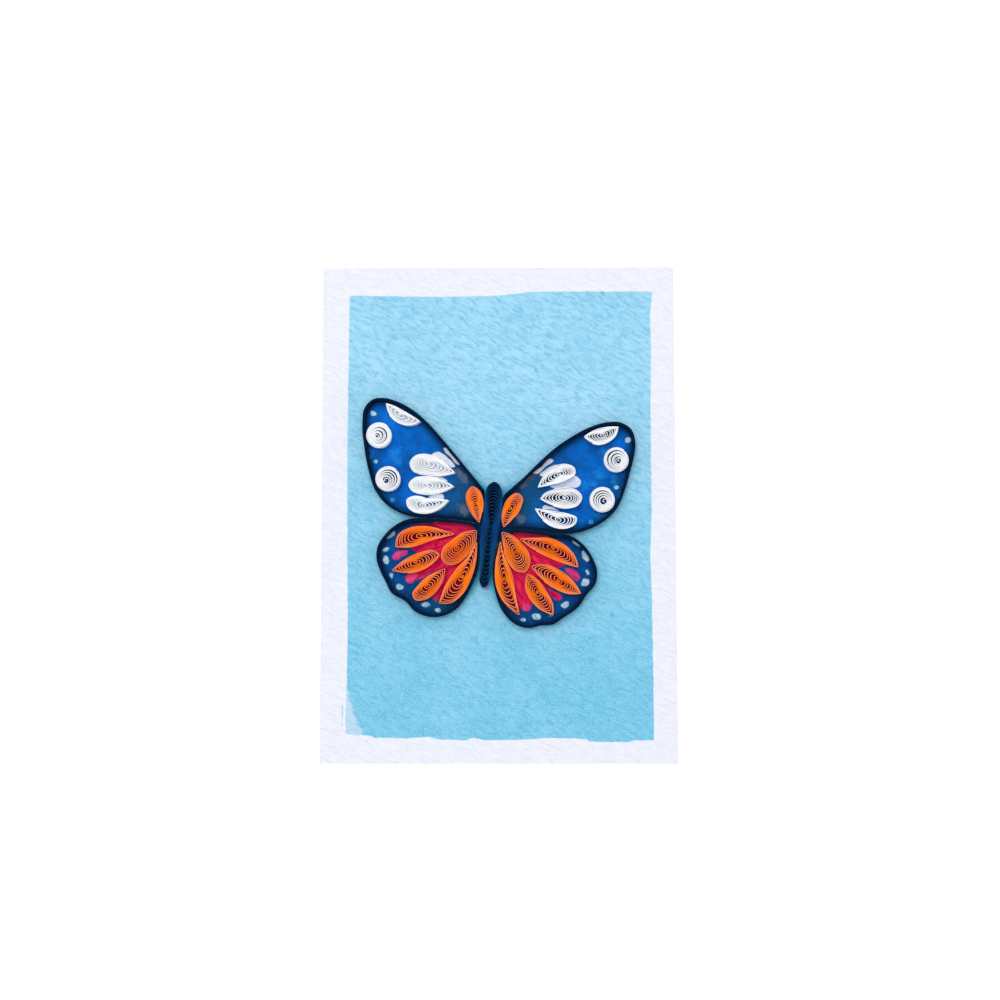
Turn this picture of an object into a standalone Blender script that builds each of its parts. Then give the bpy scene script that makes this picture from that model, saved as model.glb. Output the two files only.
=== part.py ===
"""A quilled paper butterfly glued to a painted watercolour card, lying flat.

Every coil is one narrow strip of paper stood on edge, wound round its own eye and pinched
where its outline has a corner. A dark strip, folded back on itself, edges each wing. All of
them are glued to a paper wing shape, which is glued to the card. Metres, +Z out of the card,
+Y towards the butterfly's head, origin at the middle of the card's back.
"""

import math

import bpy
import bmesh
from mathutils import Matrix, Vector

MM = 0.001

# Card and the paper wing shape under the coils
CARD_WIDTH = 127.0 * MM
CARD_HEIGHT = 178.0 * MM
CARD_THICKNESS = 0.5 * MM
WING_SHEET_THICKNESS = 0.25 * MM
WING_TAB_LENGTH = 1.0 * MM

# Strips of quilling paper
STRIP_WIDTH = 3.0 * MM
COIL_PAPER = 0.25 * MM
EDGE_PAPER = 0.35 * MM
EDGE_AIR = 0.3 * MM
GLUE_GAP = 0.3 * MM
SIDE_GAP = 0.3 * MM

# Coils
SPOT_RADIUS = 4.5 * MM
COIL_TURNS = 4.0
BODY_TURNS = 4.0
EYE_SHARE = 0.2
LAP_START = 0.7
COIL_POINTS = 11
SPOT_POINTS = 12
EDGE_POINTS = 28
CURVE_STEPS = 12
BEND_SHARE = 1.0

# How the glued layers stack up from the card's back
SHEET_BOTTOM = CARD_THICKNESS + GLUE_GAP
STRIP_BOTTOM = SHEET_BOTTOM + WING_SHEET_THICKNESS + GLUE_GAP
EDGE_WIDTH = 2 * EDGE_PAPER + EDGE_AIR

# Outer face of each wing's edging, in millimetres from the middle of the card. The forewings
# start at the head, run out along the leading edge and come back along the seam.
FOREWING_LEFT = [
    (-5.0, 7.9), (-10.0, 14.1), (-20.0, 26.2), (-25.1, 31.9), (-30.1, 36.3), (-35.2, 39.2),
    (-40.1, 40.8), (-44.6, 40.5), (-47.6, 37.6), (-48.5, 32.0), (-47.8, 23.5), (-46.3, 15.5),
    (-43.6, 7.5), (-39.2, 2.3), (-33.0, -0.9), (-27.4, -1.75), (-20.0, -2.1), (-14.0, -2.6),
    (-8.8, -3.5)]
FOREWING_RIGHT = [
    (2.2, 6.3), (9.1, 12.3), (15.1, 18.15), (21.0, 23.3), (26.9, 27.2), (32.7, 30.2),
    (38.5, 31.9), (43.8, 31.8), (47.6, 29.2), (48.85, 24.8), (48.3, 19.5), (47.0, 14.5),
    (45.0, 7.7), (42.0, 1.0), (37.5, -3.35), (32.2, -6.1), (26.3, -7.6), (20.5, -7.4),
    (14.6, -6.6), (8.7, -6.1), (4.2, -5.95)]

# The hindwings start at the seam, run round the scalloped margin and end beside the body.
HINDWING_LEFT = [
    (-7.6, -4.25), (-14.0, -3.0), (-20.0, -2.5), (-27.4, -2.15), (-32.0, -2.5), (-36.0, -4.3),
    (-40.4, -8.2), (-42.7, -11.9), (-43.2, -16.5), (-42.1, -20.2), (-39.8, -24.9), (-37.9, -28.5),
    (-33.0, -31.5), (-29.3, -35.3), (-25.0, -37.0), (-20.0, -36.9), (-15.0, -34.4), (-11.6, -30.2),
    (-9.2, -25.6), (-7.7, -21.8), (-6.9, -17.0), (-6.7, -10.0)]
HINDWING_RIGHT = [
    (4.4, -6.3), (8.7, -6.4), (14.6, -6.95), (20.5, -7.8), (25.0, -8.3), (29.2, -10.8),
    (33.2, -16.0), (35.0, -21.5), (34.4, -25.4), (31.1, -29.5), (28.3, -33.6), (23.2, -37.3),
    (19.0, -39.9), (15.0, -40.2), (10.5, -41.1), (5.6, -39.5), (1.5, -35.2), (-1.05, -28.6),
    (-2.0, -21.5), (-1.2, -15.5), (-0.05, -10.9)]

# Share of its run that an edging strip covers again after its fold
FOREWING_RETURN = 1.0
HINDWING_LEFT_RETURN = 0.88
HINDWING_RIGHT_RETURN = 0.8


def clear_scene():
    """Remove the objects of the start-up scene."""
    for obj in list(bpy.data.objects):
        bpy.data.objects.remove(obj)


def collection(name):
    """A new collection in the scene."""
    made = bpy.data.collections.new(name)
    bpy.context.scene.collection.children.link(made)
    return made


def paper(name, colour, roughness):
    """A matt paper or paint of one colour."""
    mat = bpy.data.materials.new(name)
    mat.use_nodes = True
    shader = mat.node_tree.nodes["Principled BSDF"]
    shader.inputs["Base Color"].default_value = (*colour, 1.0)
    shader.inputs["Roughness"].default_value = roughness
    shader.inputs["Metallic"].default_value = 0.0
    mat.diffuse_color = (*colour, 1.0)
    return mat


def points_mm(pairs):
    """Millimetre pairs as points in metres."""
    return [Vector((x * MM, y * MM)) for x, y in pairs]


def smooth(knots, corners, closed):
    """Stretches of a smooth curve through the knots, one from each knot to the next.

    The curve breaks its direction at the corners and, when it is open, at both ends.
    """
    last = len(knots) - 1
    breaks = set(corners)
    if not closed:
        breaks |= {0, last}

    def lean(i):
        """Direction of the curve at a knot that it passes smoothly."""
        before = knots[i] - knots[i - 1]
        after = knots[(i + 1) % len(knots)] - knots[i]
        reach = before.length + after.length
        return (before * (after.length / before.length) + after * (before.length / after.length)) / reach

    stretches = []
    for i in range(len(knots) if closed else last):
        j = (i + 1) % len(knots)
        chord = knots[j] - knots[i]
        leave = None if i in breaks else lean(i) * chord.length
        arrive = None if j in breaks else lean(j) * chord.length
        if leave is None and arrive is None:
            leave = chord
            arrive = chord
        elif leave is None:
            leave = chord * 1.5 - arrive * 0.5
        elif arrive is None:
            arrive = chord * 1.5 - leave * 0.5
        stretch = []
        for step in range(CURVE_STEPS + 1):
            t = step / CURVE_STEPS
            stretch.append(
                knots[i] * (2 * t ** 3 - 3 * t ** 2 + 1) + leave * (t ** 3 - 2 * t ** 2 + t)
                + knots[j] * (3 * t ** 2 - 2 * t ** 3) + arrive * (t ** 3 - t ** 2))
        stretches.append(stretch)
    return stretches


def spaced(line, count):
    """`count` points along a line from its start, without its end, closer together in the bends."""
    bend_reach = BEND_SHARE * length_of(line) / (2 * math.pi)
    reach = [0.0]
    for i in range(1, len(line)):
        step = line[i] - line[i - 1]
        turned = 0.0 if i == 1 else abs((line[i - 1] - line[i - 2]).angle(step))
        reach.append(reach[-1] + step.length + bend_reach * turned)
    made = []
    k = 0
    for i in range(count):
        goal = reach[-1] * i / count
        while reach[k + 1] < goal:
            k += 1
        made.append(line[k].lerp(line[k + 1], (goal - reach[k]) / (reach[k + 1] - reach[k])))
    return made


def length_of(line):
    """Length of a line of points."""
    return sum((b - a).length for a, b in zip(line, line[1:]))


def joined(stretches):
    """Stretches end to end as one line."""
    line = list(stretches[0])
    for stretch in stretches[1:]:
        line += stretch[1:]
    return line


def anticlockwise(outline):
    """A closed outline from the same first point, turned to run anticlockwise."""
    area = sum(a.cross(b) for a, b in zip(outline, outline[1:] + outline[:1]))
    return outline if area > 0 else outline[:1] + outline[:0:-1]


def closed_outline(knots, corners, count):
    """About `count` points round a closed outline, anticlockwise, with one on every corner."""
    stretches = smooth(knots, corners, closed=True)
    sides = []
    for n, corner in enumerate(corners):
        following = corners[(n + 1) % len(corners)]
        stop = following if following > corner else following + len(knots)
        sides.append(joined([stretches[i % len(knots)] for i in range(corner, stop)]))
    whole = sum(length_of(side) for side in sides)
    outline = []
    for side in sides:
        outline += spaced(side, max(2, round(count * length_of(side) / whole)))
    return anticlockwise(outline)


def strip(name, line, thickness, mat, group):
    """A strip of paper on edge whose outer face follows a line, with its thickness to the left."""
    mesh = bpy.data.meshes.new(name)
    bm = bmesh.new()
    foot = [bm.verts.new((p.x, p.y, STRIP_BOTTOM)) for p in line]
    edges = [bm.edges.new(pair) for pair in zip(foot, foot[1:])]
    raised = bmesh.ops.extrude_edge_only(bm, edges=edges)["geom"]
    bmesh.ops.translate(
        bm, vec=(0, 0, STRIP_WIDTH), verts=[v for v in raised if isinstance(v, bmesh.types.BMVert)])
    bm.normal_update()
    first = edges[0].link_faces[0]
    along = (line[1] - line[0]).to_3d()
    if first.normal.dot(along.cross(Vector((0, 0, 1)))) < 0:
        bmesh.ops.reverse_faces(bm, faces=bm.faces[:])
    bm.to_mesh(mesh)
    bm.free()
    mesh.materials.append(mat)
    obj = bpy.data.objects.new(name, mesh)
    group.objects.link(obj)
    wall = obj.modifiers.new("paper", "SOLIDIFY")
    wall.thickness = thickness
    wall.offset = -1.0
    wall.use_even_offset = True
    return obj


def wound_strip(name, outline, eye, turns, mat, group):
    """A strip wound inwards from the outline's first point, each turn nearer the eye.

    The outer turn keeps the outline's full size until its last stretch, where it laps under.
    """
    count = round(turns * len(outline))
    step = (1.0 - EYE_SHARE) / turns
    line = []
    for i in range(count + 1):
        turn = i / len(outline)
        if turn < 1.0:
            share = 1.0 - step * max(0.0, turn - LAP_START) / (1.0 - LAP_START)
        else:
            share = 1.0 - step * turn
        line.append(eye.lerp(outline[i % len(outline)], share))
    return strip(name, line, COIL_PAPER, mat, group)


def coil(name, mat, group, eye, path, corners=(0,)):
    """A coil pinched at the corners of its path."""
    outline = closed_outline(points_mm(path), corners, COIL_POINTS)
    return wound_strip(name, outline, points_mm([eye])[0], COIL_TURNS, mat, group)


def inward(line, i):
    """Mitred normal to the left of a line at one of its points."""
    before = (line[i] - line[max(i - 1, 0)])
    after = (line[min(i + 1, len(line) - 1)] - line[i])
    if before.length == 0.0:
        before = after
    if after.length == 0.0:
        after = before
    before = before.normalized()
    after = after.normalized()
    normal = Vector((-before.y - after.y, before.x + after.x)).normalized()
    return normal / normal.dot(Vector((-after.y, after.x)))


def edge_line(pairs):
    """Outer face of a wing's edging as evenly spaced points, with the wing on their left."""
    line = joined(smooth(points_mm(pairs), (), closed=False))
    even = spaced(line, EDGE_POINTS) + [line[-1]]
    middle = sum(even, Vector((0, 0))) / len(even)
    turning = sum((a - middle).cross(b - middle) for a, b in zip(even, even[1:]))
    return even if turning > 0 else even[::-1]


def edging(name, line, fold_at_start, share, mat, group):
    """A wing's edging: one strip along the line, folded at one end and laid back inside itself."""
    inner = [p + inward(line, i) * EDGE_WIDTH for i, p in enumerate(line)]
    kept = round(share * (len(line) - 1)) + 1
    if fold_at_start:
        return strip(name, inner[:kept][::-1] + line, EDGE_PAPER, mat, group)
    return strip(name, line + inner[::-1][:kept], EDGE_PAPER, mat, group)


def nearest_seat(line, target):
    """Point of a line nearest to a target, with the inward normal there."""
    best = None
    for i, (a, b) in enumerate(zip(line, line[1:])):
        run = b - a
        share = min(max((target - a).dot(run) / run.length_squared, 0.0), 1.0)
        point = a + run * share
        if best is None or (point - target).length < best[0]:
            best = ((point - target).length, point)
    normal = (target - best[1]).normalized()
    return best[1], normal


def round_spot(name, line, target, eye_shift, mat, group):
    """A round coil pushed up against a wing's edging near a target point."""
    seat, normal = nearest_seat(line, points_mm([target])[0])
    centre = seat + normal * (EDGE_WIDTH + SIDE_GAP + SPOT_RADIUS)
    step = 2 * math.pi / SPOT_POINTS
    start = math.atan2(-normal.y, -normal.x)
    outline = []
    for i in range(SPOT_POINTS):
        angle = start + i * step
        outline.append(centre + Vector((math.cos(angle), math.sin(angle))) * SPOT_RADIUS)
    eye = centre + points_mm([eye_shift])[0]
    return wound_strip(name, outline, eye, COIL_TURNS, mat, group)


def flat_sheet(name, outline, bottom, thickness, mat, group):
    """A flat sheet of paper cut to an outline."""
    curve = bpy.data.curves.new(name, "CURVE")
    curve.dimensions = "2D"
    curve.fill_mode = "BOTH"
    curve.extrude = thickness / 2
    spline = curve.splines.new("POLY")
    spline.points.add(len(outline) - 1)
    for point, place in zip(spline.points, outline):
        point.co = (place.x, place.y, 0.0, 1.0)
    spline.use_cyclic_u = True
    drawn = bpy.data.objects.new(name + "_outline", curve)
    group.objects.link(drawn)
    graph = bpy.context.evaluated_depsgraph_get()
    mesh = bpy.data.meshes.new_from_object(drawn.evaluated_get(graph))
    bpy.data.objects.remove(drawn)
    bm = bmesh.new()
    bm.from_mesh(mesh)
    bmesh.ops.remove_doubles(bm, verts=bm.verts[:], dist=thickness / 10)
    bmesh.ops.recalc_face_normals(bm, faces=bm.faces[:])
    bm.to_mesh(mesh)
    bm.free()
    mesh.materials.clear()
    mesh.materials.append(mat)
    obj = bpy.data.objects.new(name, mesh)
    obj.location.z = bottom + thickness / 2
    group.objects.link(obj)
    return obj


def wing_sheet(wings, body, eye, mat, group, guides):
    """The paper wing shape: four wings, each with a tab under the body, and the body's own shape."""
    sheet = flat_sheet("wing_base", body, SHEET_BOTTOM, WING_SHEET_THICKNESS, mat, group)
    for number, line in enumerate(wings):
        far_side = 1.0 if line[0].x + line[-1].x < 2 * eye.x else -1.0
        tab = eye + Vector((far_side * WING_TAB_LENGTH, 0.0))
        part = flat_sheet(
            "wing_cut_%d" % number, line + [tab], SHEET_BOTTOM, WING_SHEET_THICKNESS, mat, guides)
        part.hide_render = True
        part.display_type = "WIRE"
        union = sheet.modifiers.new("wing_%d" % number, "BOOLEAN")
        union.operation = "UNION"
        union.object = part
    return sheet


def card(mat, group):
    """The watercolour card."""
    mesh = bpy.data.meshes.new("card")
    bm = bmesh.new()
    size = Matrix.Diagonal((CARD_WIDTH, CARD_HEIGHT, CARD_THICKNESS, 1.0))
    lift = Matrix.Translation((0, 0, CARD_THICKNESS / 2))
    bmesh.ops.create_cube(bm, size=1.0, matrix=lift @ size)
    bm.to_mesh(mesh)
    bm.free()
    mesh.materials.append(mat)
    obj = bpy.data.objects.new("card", mesh)
    group.objects.link(obj)
    return obj


clear_scene()
parts = collection("quilled_butterfly")
cutters = collection("guides")

card_paint = paper("painted_card", (0.28, 0.62, 0.79), 0.85)
wing_paint = paper("painted_wings", (0.005, 0.11, 0.45), 0.7)
navy = paper("navy_paper", (0.006, 0.02, 0.06), 0.75)
white = paper("white_paper", (0.86, 0.87, 0.9), 0.8)
orange = paper("orange_paper", (0.95, 0.2, 0.012), 0.75)

card(card_paint, parts)

# Body: one long dark coil pressed narrow, its eye drawn out along it
BODY_EYE = (-2.7, -5.5)
BODY_PATH = [
    (-1.3, 10.8), (-3.1, 10.0), (-4.3, 7.9), (-4.75, 4.5), (-5.1, 0.0), (-5.75, -5.0), (-6.3, -10.0),
    (-6.35, -16.0), (-6.45, -21.5), (-6.5, -25.0), (-5.4, -26.9), (-4.1, -26.3), (-3.3, -24.2),
    (-2.5, -20.0), (-1.7, -15.0), (-0.7, -10.7), (0.3, -6.0), (0.9, -1.0), (1.5, 4.0), (1.15, 8.0),
    (0.3, 9.8)]
body_outline = anticlockwise(points_mm(BODY_PATH))
body_eye = points_mm([BODY_EYE])[0]
wound_strip("body", body_outline, body_eye, BODY_TURNS, navy, parts)

# Wing edgings and the sheet under them
fore_left = edge_line(FOREWING_LEFT)
fore_right = edge_line(FOREWING_RIGHT)
hind_left = edge_line(HINDWING_LEFT)
hind_right = edge_line(HINDWING_RIGHT)
wing_outlines = [fore_left, fore_right, hind_left, hind_right]
wing_sheet(wing_outlines, body_outline, body_eye, wing_paint, parts, cutters)
edging("forewing_edge_left", fore_left, True, FOREWING_RETURN, navy, parts)
edging("forewing_edge_right", fore_right, True, FOREWING_RETURN, navy, parts)
edging("hindwing_edge_left", hind_left, True, HINDWING_LEFT_RETURN, navy, parts)
edging("hindwing_edge_right", hind_right, False, HINDWING_RIGHT_RETURN, navy, parts)

# White coils of the forewings: two round spots, a leaf at the tip and three teardrops a side
round_spot("spot_left_upper", fore_left, (-42.7, 27.6), (-0.8, 0.0), white, parts)
round_spot("spot_left_lower", fore_left, (-39.6, 11.8), (-0.6, 0.1), white, parts)
round_spot("spot_right_upper", fore_right, (42.6, 18.3), (0.4, 0.1), white, parts)
round_spot("spot_right_lower", fore_right, (37.7, 3.6), (0.2, -0.4), white, parts)
coil("tip_leaf_left", white, parts, (-34.8, 34.5), [
    (-40.1, 39.0), (-39.2, 35.5), (-36.8, 32.7), (-32.4, 31.2), (-29.4, 31.8), (-28.1, 32.6),
    (-31.3, 34.7), (-34.2, 36.4), (-37.0, 37.9)], (0, 5))
coil("tip_leaf_right", white, parts, (37.0, 27.4), [
    (30.6, 26.8), (32.8, 25.0), (34.9, 24.1), (37.3, 24.2), (40.0, 25.4), (42.0, 27.4), (42.8, 30.3),
    (39.0, 30.2), (35.9, 29.6), (33.0, 28.4)], (0, 6))
coil("forewing_drop_left_1", white, parts, (-25.1, 17.5), [
    (-15.4, 14.0), (-19.1, 13.2), (-25.0, 13.2), (-30.7, 15.2), (-31.4, 17.6), (-29.4, 20.1),
    (-26.6, 20.7), (-21.5, 19.2), (-17.0, 15.7)])
coil("forewing_drop_left_2", white, parts, (-25.6, 9.5), [
    (-15.9, 9.2), (-20.6, 7.1), (-26.5, 6.4), (-31.0, 8.0), (-31.8, 9.7), (-30.0, 12.0),
    (-26.5, 12.7), (-20.6, 11.8)])
coil("forewing_drop_left_3", white, parts, (-26.7, 2.5), [
    (-17.8, 4.2), (-21.5, 0.9), (-24.6, -0.3), (-27.2, -0.45), (-30.3, 0.3), (-32.3, 2.3),
    (-32.4, 4.5), (-30.3, 5.6), (-25.5, 5.1)])
coil("forewing_drop_right_1", white, parts, (21.9, 13.6), [
    (14.1, 8.8), (19.5, 9.8), (24.6, 11.6), (27.4, 13.8), (27.2, 15.4), (23.6, 17.0), (20.4, 16.2),
    (16.8, 13.4)])
coil("forewing_drop_right_2", white, parts, (23.7, 5.0), [
    (14.8, 4.7), (19.0, 2.4), (24.5, 1.3), (28.6, 2.7), (29.7, 5.3), (27.8, 7.7), (23.6, 8.5),
    (18.5, 7.4)])
coil("forewing_drop_right_3", white, parts, (20.8, -2.7), [
    (13.0, 1.2), (15.3, -2.3), (18.5, -4.9), (21.8, -5.9), (25.0, -5.6), (27.4, -4.1), (27.8, -2.2),
    (25.5, -1.0), (20.0, 0.1)])

# Orange teardrops beside the body, over the roots of the forewings
coil("shoulder_drop_left", orange, parts, (-8.1, 3.3), [
    (-6.8, -3.8), (-9.2, -0.9), (-11.0, 3.0), (-11.3, 6.3), (-9.2, 9.0), (-6.8, 7.6), (-5.5, 4.5),
    (-5.8, -0.5)])
coil("shoulder_drop_right", orange, parts, (4.5, 1.5), [
    (1.9, -5.4), (1.3, -2.5), (1.9, 1.5), (3.8, 5.0), (6.8, 6.6), (8.5, 5.2), (8.1, 2.0), (5.6, -2.1)])

# Orange petals of the hindwings, from the seam round to the body
coil("hind_petal_left_1", orange, parts, (-27.6, -8.4), [
    (-15.4, -7.8), (-20.5, -6.1), (-26.0, -5.1), (-31.5, -5.7), (-35.5, -8.2), (-36.4, -12.3),
    (-31.5, -12.4), (-23.5, -9.9)], (0, 5))
coil("hind_petal_left_2", orange, parts, (-14.6, -12.7), [
    (-7.7, -6.5), (-11.5, -7.0), (-16.2, -9.9), (-19.6, -13.1), (-20.1, -16.3), (-18.0, -18.6),
    (-15.0, -18.3), (-11.5, -15.8), (-8.3, -11.3)])
coil("hind_petal_left_3", orange, parts, (-29.2, -17.8), [
    (-37.7, -20.7), (-32.5, -21.6), (-27.8, -20.8), (-22.5, -17.4), (-20.8, -15.2), (-22.5, -13.9),
    (-28.0, -14.5), (-33.5, -17.2)], (0, 4))
coil("hind_petal_left_4", orange, parts, (-25.0, -26.2), [
    (-18.9, -20.0), (-23.8, -22.1), (-28.2, -25.9), (-30.3, -29.3), (-29.5, -30.9), (-26.0, -30.9),
    (-21.9, -27.9), (-19.5, -23.5)])
coil("hind_petal_left_5", orange, parts, (-12.8, -23.2), [
    (-7.6, -10.6), (-10.8, -15.9), (-15.1, -20.6), (-18.9, -26.6), (-20.9, -32.2), (-17.0, -32.2),
    (-12.9, -29.2), (-9.9, -24.0), (-8.0, -17.3)], (0, 4))
coil("hind_petal_right_1", orange, parts, (19.7, -12.9), [
    (7.6, -9.6), (12.5, -13.3), (17.5, -15.9), (23.0, -18.1), (28.3, -19.6), (26.9, -15.4),
    (23.6, -11.9), (19.0, -9.6), (13.0, -9.3)], (0, 4))
coil("hind_petal_right_2", orange, parts, (6.3, -14.4), [
    (1.3, -7.1), (1.75, -12.5), (3.5, -17.8), (6.4, -20.9), (9.3, -21.2), (11.1, -18.6), (10.9, -15.2),
    (8.2, -11.2), (4.9, -8.4)])
coil("hind_petal_right_3", orange, parts, (21.5, -24.3), [
    (11.7, -19.3), (15.8, -24.2), (20.5, -27.4), (25.0, -29.0), (29.2, -28.9), (25.6, -23.7),
    (20.8, -20.3), (15.2, -18.6)], (0, 4))
coil("hind_petal_right_4", orange, parts, (13.9, -28.6), [
    (10.3, -21.8), (9.4, -25.4), (10.7, -29.8), (13.8, -33.7), (19.3, -36.5), (19.3, -33.0),
    (17.2, -28.6), (13.6, -23.8)], (0, 4))
coil("hind_petal_right_5", orange, parts, (2.1, -23.9), [
    (0.75, -10.3), (-0.3, -14.5), (-1.05, -20.0), (-0.75, -26.0), (1.25, -30.8), (7.4, -36.5),
    (5.9, -28.5), (4.6, -21.5), (2.0, -15.6)], (0, 5))
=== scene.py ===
"""A quilled paper butterfly on a painted watercolour card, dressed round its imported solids."""

import math
from functools import partial

import bmesh
import bpy
import numpy as np
from mathutils import Euler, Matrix, Vector, geometry, noise


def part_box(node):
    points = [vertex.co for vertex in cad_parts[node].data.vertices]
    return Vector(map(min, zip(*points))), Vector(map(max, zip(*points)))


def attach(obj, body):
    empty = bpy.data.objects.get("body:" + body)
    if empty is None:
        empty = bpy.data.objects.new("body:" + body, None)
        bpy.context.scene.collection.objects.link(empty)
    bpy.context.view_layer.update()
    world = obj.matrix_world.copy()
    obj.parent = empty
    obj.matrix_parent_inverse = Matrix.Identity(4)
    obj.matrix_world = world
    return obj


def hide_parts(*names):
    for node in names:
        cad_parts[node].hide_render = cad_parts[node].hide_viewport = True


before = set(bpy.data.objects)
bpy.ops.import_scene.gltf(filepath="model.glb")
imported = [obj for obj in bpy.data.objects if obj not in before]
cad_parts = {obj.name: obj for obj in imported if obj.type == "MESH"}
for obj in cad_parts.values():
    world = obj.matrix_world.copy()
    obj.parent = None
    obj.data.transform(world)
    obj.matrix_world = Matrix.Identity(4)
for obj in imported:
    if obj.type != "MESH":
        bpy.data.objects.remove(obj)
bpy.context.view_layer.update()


# Card: one sheet of heavy cold-pressed watercolour card. The felt that it was pressed on left a
# soft slanting grain. A pale blue wash covers its face, laid with a wide brush up to a bare white
# margin, so its lower edge is ragged and its lower left corner is thin.
MM = 0.001
GRAIN_STEP = 0.5 * MM
GRAIN_DEPTH = 0.11 * MM
GRAIN_TOP = 0.7
RIDGE_PITCH = 1.2 * MM
RIDGE_LENGTH = 3.8 * MM
RIDGE_SLANT = math.radians(-28.0)
RIDGE_SWAY = 1.6 * MM
RIDGE_DRIFT = 5.5 * MM
TRACK_LENGTH = 45 * MM
TRACK_PITCH = 3.5 * MM
NEAR = 8.0
GLOSS = 0.05

WASH_EDGE = [
    (-53.8, 78.9), (-54.1, 50), (-54.3, 20), (-54.1, -10), (-53.8, -40), (-53.9, -60), (-54.3, -70),
    (-54.4, -78.6), (-50, -79), (-45, -79.2), (-44.4, -79.9), (-32, -80.1), (-25, -79.7), (-22, -80.4),
    (-12, -80.9), (-9, -80), (-5, -80.8), (10, -80.5), (17, -80), (23, -80.1), (31, -80.4), (32, -81.3),
    (46, -81.5), (47.5, -80.9), (55, -80.8), (55, -60), (54.7, -30), (54.3, -14), (54.9, 0), (54.8, 35),
    (55.2, 60), (54.9, 72), (55.9, 80), (40, 80.1), (12, 80.1), (8, 79.6), (0, 78.7), (-20, 78.3),
    (-35, 78.5)]
THIN_WASH = [
    (-55.5, -60), (-53.4, -63.5), (-52.4, -68), (-51, -72.5), (-49.2, -76.5), (-46.5, -82), (-57, -82)]
WASH_SLIVER = [
    (-55.8, -67), (-55.3, -68.2), (-55.2, -71.5), (-55.5, -76.5), (-55.8, -73)]


def linear(code):
    """An sRGB hex colour as linear red, green, blue and alpha."""
    shares = [int(code[i:i + 2], 16) / 255 for i in (1, 3, 5)]
    return [s / 12.92 if s <= 0.04045 else ((s + 0.055) / 1.055) ** 2.4 for s in shares] + [1.0]


def plug(node, inputs):
    """Fill a node's inputs, by name or in order. Each takes a value, a hex colour, a node or a socket."""
    usable = [socket for socket in node.inputs if socket.enabled]
    for key, value in inputs.items() if isinstance(inputs, dict) else enumerate(inputs):
        socket = usable[key] if isinstance(key, int) else next(s for s in usable if s.name == key)
        if isinstance(value, bpy.types.Node):
            value = next(s for s in value.outputs if s.enabled)
        if isinstance(value, bpy.types.NodeSocket):
            node.id_data.links.new(value, socket)
        else:
            socket.default_value = linear(value) if str(value).startswith("#") else value


def add_node(tree, kind, inputs=(), operation=None, **settings):
    """Add a node by Blender's name for it, less its family, with what it does, settings and inputs."""
    families = ("ShaderNode", "GeometryNode", "FunctionNode", "Node")
    node = tree.nodes.new(next(f + kind for f in families if hasattr(bpy.types, f + kind)))
    if operation:
        node.operation = operation
    for name, value in settings.items():
        setattr(node, name, value)
    plug(node, inputs)
    return node


def matt_paper(name, roughness):
    """A new matt material: what adds nodes to it, its shader and its Object coordinates."""
    mat = bpy.data.materials.new(name)
    mat.use_nodes = True
    add = partial(add_node, mat.node_tree)
    shader = mat.node_tree.nodes["Principled BSDF"]
    plug(shader, {"Roughness": roughness, "Specular IOR Level": GLOSS})
    return mat, add, shader, add("TexCoord").outputs["Object"]


def depth_inside(points, outline):
    """How far each point lies inside a closed outline; negative outside it, at the least -NEAR."""
    start = np.array(outline, dtype=float)
    close = np.all((points > start.min(axis=0) - NEAR) & (points < start.max(axis=0) + NEAR), axis=1)
    depth = np.full(len(points), -NEAR)
    some = points[close]
    nearest = np.full(len(some), NEAR)
    inside = np.zeros(len(some), dtype=bool)
    for a, b in zip(start, np.roll(start, -1, axis=0)):
        run = b - a
        share = np.clip((some - a) @ run / (run @ run), 0.0, 1.0)
        nearest = np.minimum(nearest, np.linalg.norm(some - a - share[:, None] * run, axis=1))
        if run[1]:
            crossed = (a[1] > some[:, 1]) != (b[1] > some[:, 1])
            inside ^= crossed & (some[:, 0] < a[0] + (some[:, 1] - a[1]) * run[0] / run[1])
    depth[close] = np.where(inside, nearest, -nearest)
    return depth


def deepest(points, outlines):
    """How far each point lies inside the outline that holds it deepest."""
    return np.max([depth_inside(points, outline) for outline in outlines], axis=0)


def places_mm(mesh):
    """A mesh's vertices seen square on, in millimetres."""
    flat = np.empty(len(mesh.vertices) * 3)
    mesh.vertices.foreach_get("co", flat)
    return flat.reshape(-1, 3)[:, :2] / MM


def mark(mesh, name, values):
    """Keep one number for each vertex under a name that a material can read."""
    kept = mesh.attributes.new(name, "FLOAT", "POINT")
    kept.data.foreach_set("value", np.asarray(values, dtype=np.float32))


def put(name, data):
    """A new object in the scene."""
    made = bpy.data.objects.new(name, data)
    bpy.context.scene.collection.objects.link(made)
    return made


def finish_piece(name, mesh, mat, node):
    """Put a finished mesh in the scene in place of the solid that it stands for."""
    piece = put(name, mesh)
    mesh.materials.clear()
    mesh.materials.append(mat)
    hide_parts(node)
    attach(piece, "root")


def grain(x, y):
    """Height of the pressed ridges at a place, from about -1 to 1."""
    along = x * math.cos(RIDGE_SLANT) + y * math.sin(RIDGE_SLANT)
    across = y * math.cos(RIDGE_SLANT) - x * math.sin(RIDGE_SLANT)
    sway = RIDGE_SWAY * noise.noise(Vector((x, y, 0.0)) / RIDGE_DRIFT)
    return noise.noise(Vector((along / RIDGE_LENGTH, (across + sway) / RIDGE_PITCH, 3.0)))


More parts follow.
